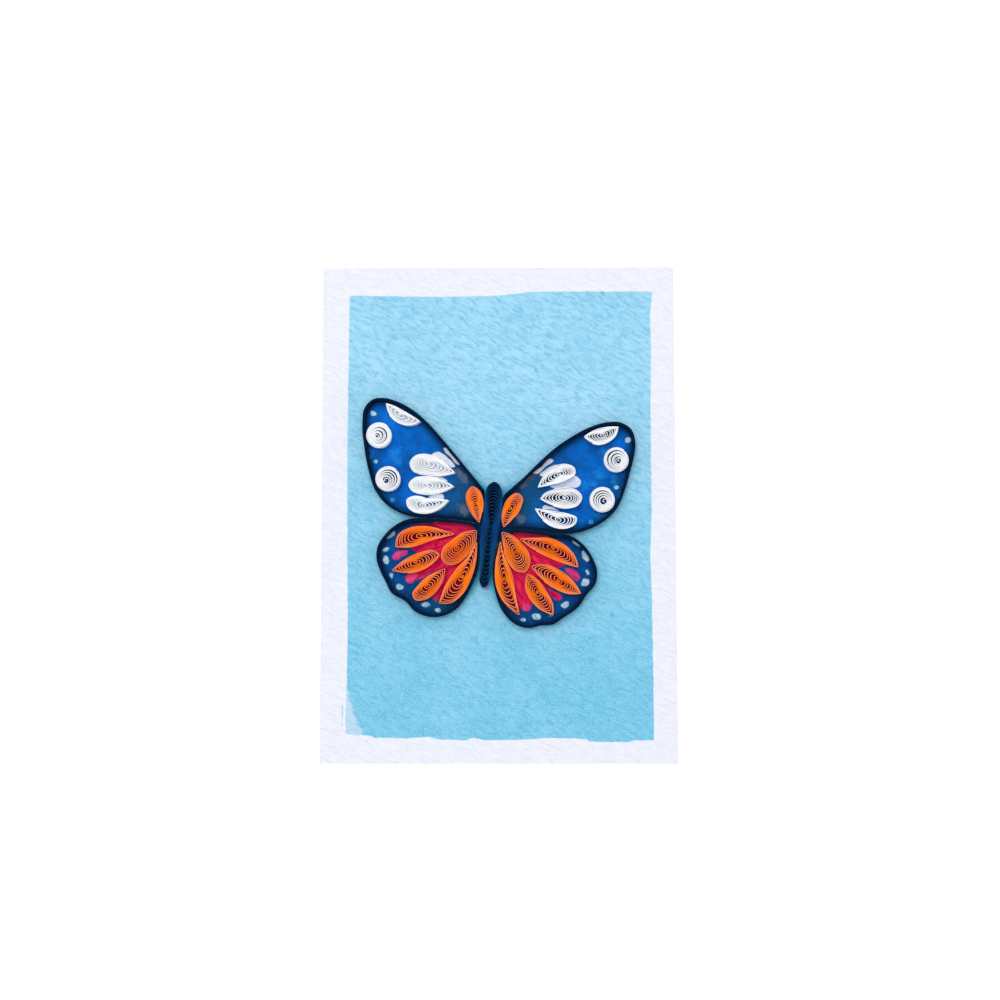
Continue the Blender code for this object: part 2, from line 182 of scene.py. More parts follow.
card_low, card_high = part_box("card")
card_size = card_high - card_low
bm = bmesh.new()
bmesh.ops.create_grid(
    bm, x_segments=round(card_size.x / GRAIN_STEP), y_segments=round(card_size.y / GRAIN_STEP), size=0.5)
for vert in bm.verts:
    x = vert.co.x * card_size.x
    y = vert.co.y * card_size.y
    vert.co = (x, y, card_high.z + GRAIN_DEPTH * (grain(x, y) - GRAIN_TOP))
rim = [edge for edge in bm.edges if edge.is_boundary]
for vert in bmesh.ops.extrude_edge_only(bm, edges=rim)["geom"]:
    if isinstance(vert, bmesh.types.BMVert):
        vert.co.z = card_low.z
bmesh.ops.edgeloop_fill(bm, edges=[edge for edge in bm.edges if edge.is_boundary])
bmesh.ops.recalc_face_normals(bm, faces=bm.faces[:])
card_mesh = bpy.data.meshes.new("watercolour_card")
bm.to_mesh(card_mesh)
bm.free()
card_mesh.shade_smooth()
card_mesh.set_sharp_from_angle(angle=math.radians(50.0))

card_places = places_mm(card_mesh)
mark(card_mesh, "wash", deepest(card_places, [WASH_EDGE, WASH_SLIVER]))
mark(card_mesh, "thin_wash", depth_inside(card_places, THIN_WASH))

# Watercolour on cold-pressed cotton card: matt, with slanting ridges about 1.2 mm apart that show
# as fine lines of shade, darker hollows between them where pigment gathered and where painted shade
# lies, pigment pooled in soft clouds, and brush tracks across. A painted teal shade deepens the wash
# close to the wings. The bare margin is a faintly blue white, with painted shade in its hollows.
card_paint, add, shader, places = matt_paper("watercolour_on_cold_pressed_card", 0.9)
face_depth, thin_depth, beside = (
    add("Attribute", attribute_name=name).outputs["Fac"] for name in ("wash", "thin_wash", "in_the_notch"))
slanted = add("VectorRotate", {"Vector": places, "Angle": -RIDGE_SLANT}, rotation_type="Z_AXIS")
sway = add("TexNoise", {"Vector": places, "Scale": 1 / RIDGE_DRIFT, "Detail": 1.0})
sway = add("Math", (sway, 2 * RIDGE_SWAY), "MULTIPLY")
sway = add("CombineXYZ", {"Y": sway})
ridge_place = add("VectorMath", (slanted, sway))
ridge_place = add("VectorMath", (ridge_place, (1 / RIDGE_LENGTH, 1 / RIDGE_PITCH, 1.0)), "MULTIPLY")
ridges = add("TexNoise", {
    "Vector": ridge_place, "Scale": 1.0, "Detail": 3.0, "Roughness": 0.62, "Distortion": 0.5})
apart = add("SeparateXYZ", (places,))
clouds = add("TexNoise", {"Vector": places, "Scale": 40.0, "Detail": 4.0, "Roughness": 0.6})
track_place = add("VectorMath", (places, (1 / TRACK_LENGTH, 1 / TRACK_PITCH, 1.0)), "MULTIPLY")
tracks = add("TexNoise", (track_place, 1.0))
ragged = add("TexNoise", {"Vector": places, "Scale": 420.0, "Detail": 4.0})
fibres = add("TexNoise", (places, 1900.0))
lower = add("MapRange", {
    "Value": apart.outputs["Y"], "From Min": 0.04, "From Max": -0.06, "To Min": -0.25, "To Max": 0.32})
pooled = add("Math", (clouds, lower))
pooled = add("Math", (tracks, 0.35, pooled), "MULTIPLY_ADD")
pooled = add("MapRange", (pooled, 0.3, 1.05))
# Hollows between the ridges: darker on the wash, partly pigment gathered there and partly painted shade
hollow = add("MapRange", {"Value": ridges, "From Min": 0.56, "From Max": 0.3, "To Max": 0.6})
grit = add("MapRange", {"Value": fibres, "From Min": 0.44, "From Max": 0.66, "To Max": 0.35})
# Painted shade: a deeper teal close to the wings, most of all in the notches beside the body
notch_shade = add("MapRange", {
    "Value": beside, "From Min": -3.0, "From Max": -0.7, "To Max": 0.75}, interpolation_type="SMOOTHSTEP")
wash = "#a8defa"
for cover, tint in ((pooled, "#76c8e8"), (hollow, "#4aaad4"), (grit, "#bce8fc"), (notch_shade, "#2fb0d6")):
    wash = add("Mix", (cover, wash, tint), data_type="RGBA")
wobbly = add("Math", (ragged, 0.7, face_depth), "MULTIPLY_ADD")
covered = add("MapRange", (wobbly, 0.25, 0.5))
scraped = add("Math", (ragged, 2.4, thin_depth), "MULTIPLY_ADD")
scraped = add("Math", (hollow, -1.0, scraped), "MULTIPLY_ADD")
scraped = add("MapRange", {
    "Value": scraped, "From Min": 0.5, "From Max": 1.5, "To Min": 1.0, "To Max": 0.55})
covered = add("Math", (covered, scraped), "MULTIPLY")
# Painted shade: the bare margin is darker in the hollows between the ridges
bare = add("Mix", (hollow, "#eff2fc", "#e2e7f4"), data_type="RGBA")
colour = add("Mix", (covered, bare, wash), data_type="RGBA")
relief = add("Bump", {"Height": ridges, "Distance": 0.5 * MM})
bump = add("Bump", {"Height": fibres, "Strength": 0.4, "Distance": 0.03 * MM, "Normal": relief})
plug(shader, {"Base Color": colour, "Normal": bump})
finish_piece("watercolour_card", card_mesh, card_paint, "card")


# Wing shape: the butterfly cut from one piece of thin card, painted blue, with loose white, pink
# and crimson strokes, and glued to the watercolour card. The strips stand round its border.
CURVE_STEPS = 10
SHEET_STEP = 0.42 * MM
SHEET_INSET = 0.05 * MM
TAB_REACH = 1.0 * MM
STROKE_STEPS = 12
BODY_LEAN = 0.18
NOTCH_SHARE = 0.2

# Joins between the two wings of a side and the body, where the edgings leave off
ROOTS = [
    [(-8.7, -3), (-7.6, -5), (-6, -8), (-4.5, 0)],
    [(4.5, -5.1), (4.6, -7.1), (0.5, -9.5), (0.5, -3)]]

# Outer face of each wing's edging, in millimetres from the middle of the card. The forewings
# start at the head, run out along the leading edge and come back along the seam. The hindwings
# start at the seam, run round the scalloped margin and end beside the body.
WINGS = {
    "forewing_edge_left": [
        (-5, 7.9), (-10, 14.1), (-20, 26.2), (-25.1, 31.9), (-30.1, 36.3), (-35.2, 39.2), (-40.1, 40.8),
        (-44.6, 40.5), (-47.6, 37.6), (-48.5, 32), (-47.8, 23.5), (-46.3, 15.5), (-43.6, 7.5),
        (-39.2, 2.3), (-33, -0.9), (-27.4, -1.75), (-20, -2.1), (-14, -2.6), (-8.8, -3.5)],
    "forewing_edge_right": [
        (2.2, 6.3), (9.1, 12.3), (15.1, 18.15), (21, 23.3), (26.9, 27.2), (32.7, 30.2), (38.5, 31.9),
        (43.8, 31.8), (47.6, 29.2), (48.85, 24.8), (48.3, 19.5), (47, 14.5), (45, 7.7), (42, 1),
        (37.5, -3.35), (32.2, -6.1), (26.3, -7.6), (20.5, -7.4), (14.6, -6.6), (8.7, -6.1), (4.2, -5.95)],
    "hindwing_edge_left": [
        (-7.6, -4.25), (-14, -3), (-20, -2.5), (-27.4, -2.15), (-32, -2.5), (-36, -4.3), (-40.4, -8.2),
        (-42.7, -11.9), (-43.2, -16.5), (-42.1, -20.2), (-39.8, -24.9), (-37.9, -28.5), (-33, -31.5),
        (-29.3, -35.3), (-25, -37), (-20, -36.9), (-15, -34.4), (-11.6, -30.2), (-9.2, -25.6),
        (-7.7, -21.8), (-6.9, -17), (-6.7, -10)],
    "hindwing_edge_right": [
        (4.4, -6.3), (8.7, -6.4), (14.6, -6.95), (20.5, -7.8), (25, -8.3), (29.2, -10.8), (33.2, -16),
        (35, -21.5), (34.4, -25.4), (31.1, -29.5), (28.3, -33.6), (23.2, -37.3), (19, -39.9), (15, -40.2),
        (10.5, -41.1), (5.6, -39.5), (1.5, -35.2), (-1.05, -28.6), (-2, -21.5), (-1.2, -15.5),
        (-0.05, -10.9)]}

# Body outline and its eye, in the same measure
BODY_EYE = (-2.7, -5.5)
BODY_PATH = [
    (-1.3, 10.8), (-3.1, 10), (-4.3, 7.9), (-4.75, 4.5), (-5.1, 0), (-5.75, -5), (-6.3, -10),
    (-6.35, -16), (-6.45, -21.5), (-6.5, -25), (-5.4, -26.9), (-4.1, -26.3), (-3.3, -24.2), (-2.5, -20),
    (-1.7, -15), (-0.7, -10.7), (0.3, -6), (0.9, -1), (1.5, 4), (1.15, 8), (0.3, 9.8)]

# The paint marks were measured level with the strips' tops, and lie lower, so they spread a
# little from the place that the camera looks straight down on.
PAINT_CENTRE = Vector((4.9, -24.5))
PAINT_SPREAD = 1.0076

# Brush strokes by kind, each as the outline of its patch of paint. The last three white ones are
# a ground laid under coils of the left forewing, and the dark red ground lies under the petals.
PAINT = {
    "white": [
        [(-24, 20.3), (-21.5, 21.5), (-19.5, 20.6), (-17.6, 19), (-15.9, 17.3), (-15.3, 16.2),
         (-16.8, 15.9)],
        [(-19.5, 22.8), (-19, 22.9), (-16.3, 20), (-13.6, 17), (-14, 16.9), (-16.9, 19.6), (-19.3, 22.1)],
        [(-25, 5.3), (-21.8, 6.3), (-19.4, 6), (-19.4, 4.7), (-22, 4.6)],
        [(-22.5, 12.6), (-20, 12.4), (-18, 11), (-20.5, 11.2)],
        [(12.6, 13.6), (15.4, 16), (18.9, 18.8), (19.5, 18.5), (16.6, 15.9), (13.6, 13.5)],
        [(14.8, 13), (16.6, 14.8), (19.5, 16.5), (21.3, 16.8), (15.7, 12.6)],
        [(18.6, 8.9), (27.8, 12.7), (29.4, 10.4), (28.6, 9), (25.4, 8.6), (21, 8)],
        [(15.4, 5.4), (16.6, 6.8), (18.9, 7.6), (18, 6)],
        [(15.6, 1.35), (16.1, 2.1), (18.4, 1.9), (20.5, 1.1), (21.6, 0.3), (18.4, 0.8)],
        [(-39.8, 38.4), (-38.9, 35.6), (-36.6, 33), (-32.4, 31.6), (-28.6, 32.6), (-31.3, 34.5),
         (-37, 37.5)],
        [(-17, 14.2), (-25, 13.6), (-30.2, 15.6), (-30.8, 17.6), (-29, 19.8), (-26.6, 20.2),
         (-21.5, 18.8)],
        [(-20, 8.4), (-26.5, 6.9), (-30.6, 8.3), (-31.3, 9.7), (-29.6, 11.6), (-26.5, 12.2),
         (-22, 11.4)]],
    "crimson": [
        [(-22.9, -3.6), (-19, -3.1), (-14, -3.3), (-9.6, -4.4), (-8.6, -6.2), (-8.6, -9), (-12, -9.5),
         (-16.5, -8.8), (-19.6, -6.6)],
        [(-31.2, -12.4), (-27.4, -10.5), (-20, -8.4), (-14.5, -7.6), (-13, -11.5), (-19.8, -14),
         (-24.5, -14.4), (-29.5, -13.9)],
        [(-20.5, -12.8), (-15.5, -13), (-12.5, -18), (-14.5, -20.5), (-19.5, -19.2), (-22.5, -16.6)],
        [(-32.6, -24.4), (-32.4, -22.6), (-29.8, -21.5), (-25.9, -20), (-22.4, -18.2), (-20, -17.4),
         (-18.6, -18.8), (-21.5, -20.3), (-24.5, -22), (-28.9, -24.1), (-31.5, -25.1)],
        [(-23, -30), (-22.1, -27.9), (-20, -24.7), (-18.6, -20.9), (-16.8, -19.1), (-14.5, -18.2),
         (-15.9, -20.9), (-17.7, -24.1), (-19.8, -27.6), (-20.9, -30.3), (-21.4, -31.3), (-22.7, -31)],
        [(5.2, -7.6), (8.1, -6.6), (12.2, -6.6), (15.8, -7.2), (17.9, -8.5), (14, -10.6), (8.6, -12),
         (4.6, -10)],
        [(8.6, -10.8), (12.2, -12.4), (15.2, -14), (19, -16.2), (23.6, -18.9), (20.5, -20), (14.6, -19.6),
         (10.6, -17.9)],
        [(7.8, -19), (11.4, -17.6), (14.4, -19.4), (13, -24), (9.6, -25), (6.4, -22)],
        [(13.4, -23.4), (14.6, -23.9), (17.5, -26.9), (20.5, -28.7), (22.1, -29.2), (21.7, -31),
         (20.2, -31), (18.1, -28.9), (15.8, -26)],
        [(3.7, -19.2), (5.8, -21), (8.7, -21.9), (9.3, -25.4), (10, -28.9), (11.7, -32.2), (11.1, -34.5),
         (9.6, -35), (7.8, -33.7), (6.6, -30.7), (5.8, -26.9), (5.2, -23.1)]],
    "ground": [
        [(-8.4, -6.2), (-20, -4), (-33, -6.6), (-35.8, -11.8), (-24, -12.8), (-23.4, -14.6), (-28, -15.2),
         (-33, -17.9), (-36.8, -20.5), (-27.8, -20.2), (-24, -21), (-29.4, -29.4), (-26.4, -30.2),
         (-22, -27.4), (-20.4, -31.6), (-14, -29.2), (-9, -20), (-7.5, -11)],
        [(3, -8.6), (8, -7.8), (18, -9.8), (23.6, -12.4), (27.8, -19.2), (18, -17), (20.8, -20.9),
         (28.4, -28.7), (18, -26.6), (18.9, -35.9), (12, -31), (10, -25), (6.9, -35.5), (0.2, -28),
         (-0.6, -19), (1.1, -11)]],
    "pink": [
        [(-37.6, -16.2), (-36.2, -14.1), (-33.9, -13.6), (-32.1, -13.8), (-32.4, -14.7), (-34.5, -16),
         (-36.5, -17)],
        [(-32.6, -24.4), (-32.4, -22.6), (-29.8, -21.5), (-28.6, -21.8), (-29.4, -24), (-31.5, -25.1)],
        [(23.7, -20.1), (25.8, -20.1), (27.8, -21.4), (28.8, -23.7), (27.8, -24.4), (26.1, -23.1),
         (24.3, -21.4)],
        [(9.9, -32.6), (11.3, -33.2), (10.9, -34.6), (9.6, -35), (8.6, -34.2), (8.8, -33)]],
    "smudge": [
        [(-15.2, 15.4), (-14, 15.3), (-10.6, 10.9), (-10.9, 10.1), (-12.6, 11.2)],
        [(-14.6, 2.4), (-12.4, 2.6), (-11, -0.4), (-11.8, -1.6), (-13.6, 0.4)],
        [(10.6, 13), (12.9, 13.4), (9.4, 9.2), (7.9, 8.2), (8.3, 9.6)],
        [(6.9, -0.2), (8.9, -1.4), (9.2, -3.2), (7.6, -3.6), (6.6, -2.4)]]}

# Dabs: place, width, height and turn in degrees
DABS = {
    "pale": [
        (-44.5, 35.3, 2.2, 1.7, -20), (-43.7, 18, 1.7, 1.1, -5), (46.3, 25.5, 1.9, 1.9, 0),
        (42, 8.6, 1.9, 1.1, -15), (-38, -8.1, 3.9, 1.6, 42), (-39.8, -13.3, 2.2, 1.2, 30),
        (-39.7, -17, 2, 2.9, 15), (-37.9, -22.4, 1.2, 1.8, 15), (-34.9, -26.5, 2.7, 1.9, -25),
        (-25.7, -32.7, 3.1, 1.7, -2), (-21.4, -34.7, 2.1, 1.2, -5), (27.7, -11.1, 3.4, 1.4, -38),
        (30.8, -15.7, 2.2, 4.2, 25), (31.5, -21.4, 1.2, 2.2, 28), (30.7, -25, 3.1, 2.4, 30),
        (23.6, -32.9, 2.9, 2, 15), (13.4, -37, 3.1, 2, -5), (8.7, -38.1, 2, 1.2, -8)],
    "cyan": [
        (-37.6, 4.3, 1.7, 1.5, 0), (33, -3.6, 1.8, 1.6, 0), (18.6, -36.7, 1.5, 0.9, 0)],
    "thinned": [
        (-45.1, 20.7, 0.9, 2.2, 0), (36, -1.2, 2.8, 1, -20), (43.2, 6, 1, 2.6, -10),
        (-37, 21.5, 5, 3, 35), (-38.8, 32.5, 4.4, 3.4, 0), (-36, 18, 2.6, 2.6, 0), (36, 13, 3.4, 4.4, 30),
        (38.5, 21.3, 5.2, 2.8, 10), (34, 10, 2.6, 2.6, 0), (31, 9.3, 2.4, 3, 0), (41, 11.5, 1.8, 4, -10)]}


def smooth(pairs, corners=(), closed=False):
    """A smooth line through points given in millimetres, broken at its corners; in metres."""
    knots = [Vector(pair) * MM for pair in pairs]
    last = len(knots) - 1
    breaks = set(corners) if closed else set(corners) | {0, last}

    def lean(i):
        before = knots[i] - knots[i - 1]
        after = knots[(i + 1) % len(knots)] - knots[i]
        share = after.length / before.length
        return (before * share + after / share) / (before.length + after.length)

    line = []
    for i in range(len(knots) if closed else last):
        j = (i + 1) % len(knots)
        chord = knots[j] - knots[i]
        leave = None if i in breaks else lean(i) * chord.length
        arrive = None if j in breaks else lean(j) * chord.length
        if leave is None and arrive is None:
            leave = arrive = chord
        elif leave is None:
            leave = chord * 1.5 - arrive * 0.5
        elif arrive is None:
            arrive = chord * 1.5 - leave * 0.5
        for step in range(CURVE_STEPS):
            t = step / CURVE_STEPS
            line.append(
                knots[i] * (2 * t ** 3 - 3 * t ** 2 + 1) + leave * (t ** 3 - 2 * t ** 2 + t)
                + knots[j] * (3 * t ** 2 - 2 * t ** 3) + arrive * (t ** 3 - t ** 2))
    return line if closed else line + [knots[last]]


def turns_left(line):
    """Whether a line runs anticlockwise round its own middle."""
    middle = sum(line, Vector((0.0, 0.0))) / len(line)
    return sum((a - middle).cross(b - middle) for a, b in zip(line, line[1:])) > 0


def moved_in(line, depth):
    """A line moved to its left by a depth."""
    made = []
    for i, point in enumerate(line):
        run = line[min(i + 1, len(line) - 1)] - line[max(i - 1, 0)]
        made.append(point + Vector((-run.y, run.x)).normalized() * depth)
    return made


def plate(name, outlines, low, high):
    """A flat sheet of the union of some outlines, its upper face cut into even small triangles."""
    corners = []
    rings = []
    for outline in outlines:
        rings.append(list(range(len(corners), len(corners) + len(outline))))
        corners += outline
    lines = [(ring[k], ring[(k + 1) % len(ring)]) for ring in rings for k in range(len(ring))]
    left, foot = np.min(corners, axis=0)
    right, head = np.max(corners, axis=0)
    fill = []
    for number, y in enumerate(np.arange(foot, head, SHEET_STEP * math.sqrt(0.75))):
        xs = np.arange(left, right, SHEET_STEP) + SHEET_STEP * 0.5 * (number % 2)
        fill.append(np.stack([xs, np.full(len(xs), y)], axis=1))
    fill = np.concatenate(fill)
    fill = [Vector(p) for p in fill[deepest(fill, outlines) > SHEET_STEP * 0.6]]
    bm = bmesh.new()
    for height, points in ((high, corners + fill), (low, corners)):
        made, _, faces, *_ = geometry.delaunay_2d_cdt(points, lines, rings, 1, SHEET_STEP * 0.01)
        verts = [bm.verts.new((p.x, p.y, height)) for p in made]
        for face in faces:
            bm.faces.new([verts[k] for k in (face if height == high else face[::-1])])
    upper = [edge for edge in bm.edges if edge.is_boundary and edge.verts[0].co.z > (low + high) / 2]
    for vert in bmesh.ops.extrude_edge_only(bm, edges=upper)["geom"]:
        if isinstance(vert, bmesh.types.BMVert):
            vert.co.z = low
    bmesh.ops.remove_doubles(bm, verts=bm.verts[:], dist=SHEET_STEP * 0.001)
    bmesh.ops.recalc_face_normals(bm, faces=bm.faces[:])
    mesh = bpy.data.meshes.new(name)
    bm.to_mesh(mesh)
    bm.free()
    return mesh


def spread(pairs):
    """A rounded outline of paint where it lies on the sheet, in millimetres."""
    line = smooth(pairs, closed=True)
    return [PAINT_CENTRE + (point / MM - PAINT_CENTRE) * PAINT_SPREAD for point in line]


def dab(x, y, width, height, turn):
    """Outline of an oval dab of paint."""
    lean = math.radians(turn)
    made = []
    for k in range(STROKE_STEPS):
        angle = math.tau * k / STROKE_STEPS
        across = width / 2 * math.cos(angle)
        up = height / 2 * math.sin(angle)
        made.append((
            x + across * math.cos(lean) - up * math.sin(lean),
            y + across * math.sin(lean) + up * math.cos(lean)))
    return made


sheet_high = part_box("wing_base")[1]
strip_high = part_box("body")[1].z
wings = {}
for node, pairs in WINGS.items():
    line = smooth(pairs)
    wings[node] = line if turns_left(line) else line[::-1]
body_line = smooth(BODY_PATH, closed=True)
body_eye = Vector(BODY_EYE) * MM

# Painted shade: the wash is tinted a deeper teal close to the wings, most of all in the notches
# beside the body
borders = [[p / MM for p in line] for line in wings.values()]
beside_body = depth_inside(card_places, [p / MM for p in body_line])
mark(card_mesh, "in_the_notch", deepest(card_places, borders) + NOTCH_SHARE * beside_body)

plates = [body_line] + [[Vector(pair) * MM for pair in root] for root in ROOTS]
for line in wings.values():
    far_side = 1.0 if line[0].x + line[-1].x < 2 * body_eye.x else -1.0
    plates.append(moved_in(line, SHEET_INSET) + [body_eye + Vector((far_side * TAB_REACH, 0.0))])
sheet_mesh = plate("painted_wing_shape", plates, card_high.z - GRAIN_DEPTH, sheet_high.z)

sheet_places = places_mm(sheet_mesh)
mark(sheet_mesh, "rim", deepest(sheet_places, borders))
mark(sheet_mesh, "hindwing", deepest(sheet_places, borders[2:]))
mark(sheet_mesh, "root", np.abs(sheet_places[:, 0] - BODY_EYE[0] - BODY_LEAN * sheet_places[:, 1]))
paint = PAINT | {name: [dab(*place) for place in places] for name, places in DABS.items()}
for name, outlines in paint.items():
    mark(sheet_mesh, name, deepest(sheet_places, [spread(outline) for outline in outlines]))

# Each kind of stroke: how far it keeps inside its outline, how ragged and how soft its border is,
# all in millimetres, how well it covers and its two colours, laid in the order of the brush.
STROKES = (
    ("smudge", 0.0, 2.0, 1.0, 0.45, "#4f7486", "#99918f"),
    ("thinned", 0.0, 2.6, 2.0, 0.55, "#0f7ad8", "#2596ea"),
    ("cyan", 0.0, 0.6, 0.4, 0.85, "#1f8fe0", "#49b8f2"),
    ("ground", 0.0, 0.8, 0.8, 0.97, "#7a0a34", "#a0143c"),
    ("crimson", 0.0, 1.0, 0.4, 0.97, "#b00656", "#f42c5c"),
    ("crimson", 3.0, 5.0, 0.8, 0.55, "#ee3a44", "#fc5c50"),
    ("pink", 0.0, 0.6, 0.3, 0.95, "#cc2870", "#ee5090"),
    ("white", 0.0, 0.2, 0.25, 0.96, "#dae2ee", "#f2f6fc"),
    ("pale", 0.0, 0.7, 0.4, 0.95, "#86c6e6", "#d4ebf5"))

# Acrylic paint on smooth card: close to matt, cloudy where the brush thinned it, darker towards
# the border, partly as a darker painted border and partly as painted shade beside the edging, teal
# towards the body, with the streaks of a brush drawn outwards from the body.
wing_paint, add, shader, places = matt_paper("acrylic_paint_on_card", 0.7)
seen = {
    name: add("Attribute", attribute_name=name).outputs["Fac"]
    for name in ("rim", "hindwing", "root", *paint)}
clouds = add("TexNoise", {"Vector": places, "Scale": 110.0, "Detail": 4.0, "Roughness": 0.62})
speckle = add("TexNoise", (places, 1500.0))
bristle = add("TexNoise", {"Vector": places, "Scale": 700.0, "Detail": 3.0, "Roughness": 0.65})
from_body = add("VectorMath", (places, (BODY_EYE[0] * MM, BODY_EYE[1] * MM, 0.0)), "SUBTRACT")
apart = add("SeparateXYZ", (from_body,))
bearing = add("Math", (apart.outputs["Y"], apart.outputs["X"]), "ARCTAN2")
bearing = add("Math", (bearing, 26.0), "MULTIPLY")
away = add("VectorMath", (from_body,), "LENGTH")
away = add("Math", (away, 160.0), "MULTIPLY")
streak_place = add("CombineXYZ", {"X": bearing, "Y": away})
streaks = add("TexNoise", {"Vector": streak_place, "Scale": 1.0, "Detail": 3.0, "Roughness": 0.7})
cloudy = add("MapRange", (clouds, 0.36, 0.66))
streaky = add("MapRange", (streaks, 0.4, 0.62))
blue, hind = (
    add("Mix", (cloudy, deep, light), data_type="RGBA")
    for deep, light in (("#03509c", "#056fd6"), ("#03407e", "#0556a4")))
on_hind = add("MapRange", (seen["hindwing"], -0.2, 0.2))
rooted = add("Math", (clouds, 9.0, seen["root"]), "MULTIPLY_ADD")
rooted = add("MapRange", {"Value": rooted, "From Min": 28.0, "From Max": 17.0, "To Max": 0.92})
# Darker towards the border: partly a darker painted border, partly painted shade from the edging
border_paint_and_shade = add("Math", (clouds, -2.6, seen["rim"]), "MULTIPLY_ADD")
border_paint_and_shade = add("MapRange", {
    "Value": border_paint_and_shade, "From Min": 2.6, "From Max": -0.9, "To Max": 0.8}, interpolation_type="SMOOTHSTEP")
grit = add("MapRange", {"Value": speckle, "From Min": 0.55, "From Max": 0.78, "To Max": 0.4})
for cover, tint in ((on_hind, hind), (rooted, "#124c76"), (border_paint_and_shade, "#032450"), (grit, "#1284c6")):
    blue = add("Mix", (cover, blue, tint), data_type="RGBA")
for name, set_back, ragged_by, softness, cover, deep, light in STROKES:
    torn = add("Math", (bristle, 0.5), "SUBTRACT")
    torn = add("Math", (torn, 2 * ragged_by, seen[name]), "MULTIPLY_ADD")
    laid = add("MapRange", (torn, set_back - softness / 2, set_back + softness / 2, 0.0, cover))
    tint = add("Mix", (streaky, deep, light), data_type="RGBA")
    blue = add("Mix", (laid, blue, tint), data_type="RGBA")
bump = add("Bump", {"Height": bristle, "Strength": 0.3, "Distance": 0.05 * MM})
plug(shader, {"Base Color": blue, "Normal": bump})
finish_piece("painted_wing_shape", sheet_mesh, wing_paint, "wing_base")


# Wing edgings: navy quilling strip stood on edge along the border of each painted wing and glued,
# laid three times, folded back at one end, so that the cut edges show as fine lines side by side.
EDGE_LAYERS = 3
EDGE_PAPER = 0.25 * MM
EDGE_PITCH = 0.36 * MM
EDGE_STEP = 0.4 * MM
EDGE_WOBBLE = 0.1 * MM
EDGE_SUNK = 0.02 * MM
EDGE_SEED = 3.1
CRISP = 0.8
CUT_DEPTH = 0.4 * MM
CUT_SPARE = 0.16 * MM


def new_group(name, *names):
    """A new Geometry Nodes tree with its named inputs; the tree, what adds to it, and its inputs."""
    tree = bpy.data.node_groups.new(name, "GeometryNodeTree")
    kinds = {
        "Geometry": "Geometry", "Material": "Material", "Eye": "Vector", "Steps": "Int", "Layers": "Int"}
    for socket in ("Geometry", *names):
        kind = "NodeSocket" + kinds.get(socket, "Float")
        tree.interface.new_socket(socket, in_out="INPUT", socket_type=kind)
    tree.interface.new_socket("Geometry", in_out="OUTPUT", socket_type="NodeSocketGeometry")
    add = partial(add_node, tree)
    return tree, add, add("GroupInput").outputs


def worked(name, line, closed, tree, values):
    """The plain mesh that a tree makes from a line."""
    curve = bpy.data.curves.new(name, "CURVE")
    curve.dimensions = "3D"
    spline = curve.splines.new("POLY")
    spline.points.add(len(line) - 1)
    for point, place in zip(spline.points, line):
        point.co = (place.x, place.y, 0.0, 1.0)
    spline.use_cyclic_u = closed
    carrier = put(name + "_line", curve)
    modifier = carrier.modifiers.new("tree", "NODES")
    modifier.node_group = tree
    for item in tree.interface.items_tree:
        if item.in_out == "INPUT" and item.name in values:
            modifier[item.identifier] = values[item.name]
    graph = bpy.context.evaluated_depsgraph_get()
    mesh = bpy.data.meshes.new_from_object(carrier.evaluated_get(graph), depsgraph=graph)
    bpy.data.objects.remove(carrier)
    bpy.data.curves.remove(curve)
    mesh.name = name
    return mesh


def stand_on_edge(add, line, sockets):
    """Nodes that turn a line into a strip of paper on edge, and give it its material."""
    upright = add("SetCurveNormal", (line,), mode="Z_UP")
    tall = add("Math", (sockets["High"], sockets["Low"]), "SUBTRACT")
    section = add("CurvePrimitiveQuadrilateral", (sockets["Paper"], tall))
    wall = add("CurveToMesh", {"Curve": upright, "Profile Curve": section, "Fill Caps": True})
    crisp = add("Compare", (add("InputMeshEdgeAngle"), CRISP))
    rounded = add("SetShadeSmooth", (wall,))
    shaded = add("SetShadeSmooth", (rounded, crisp, False), domain="EDGE")
    real = add("RealizeInstances", (shaded,))
    dressed = add("SetMaterial", {"Geometry": real, "Material": sockets["Material"]})
    add("GroupOutput", (dressed,))


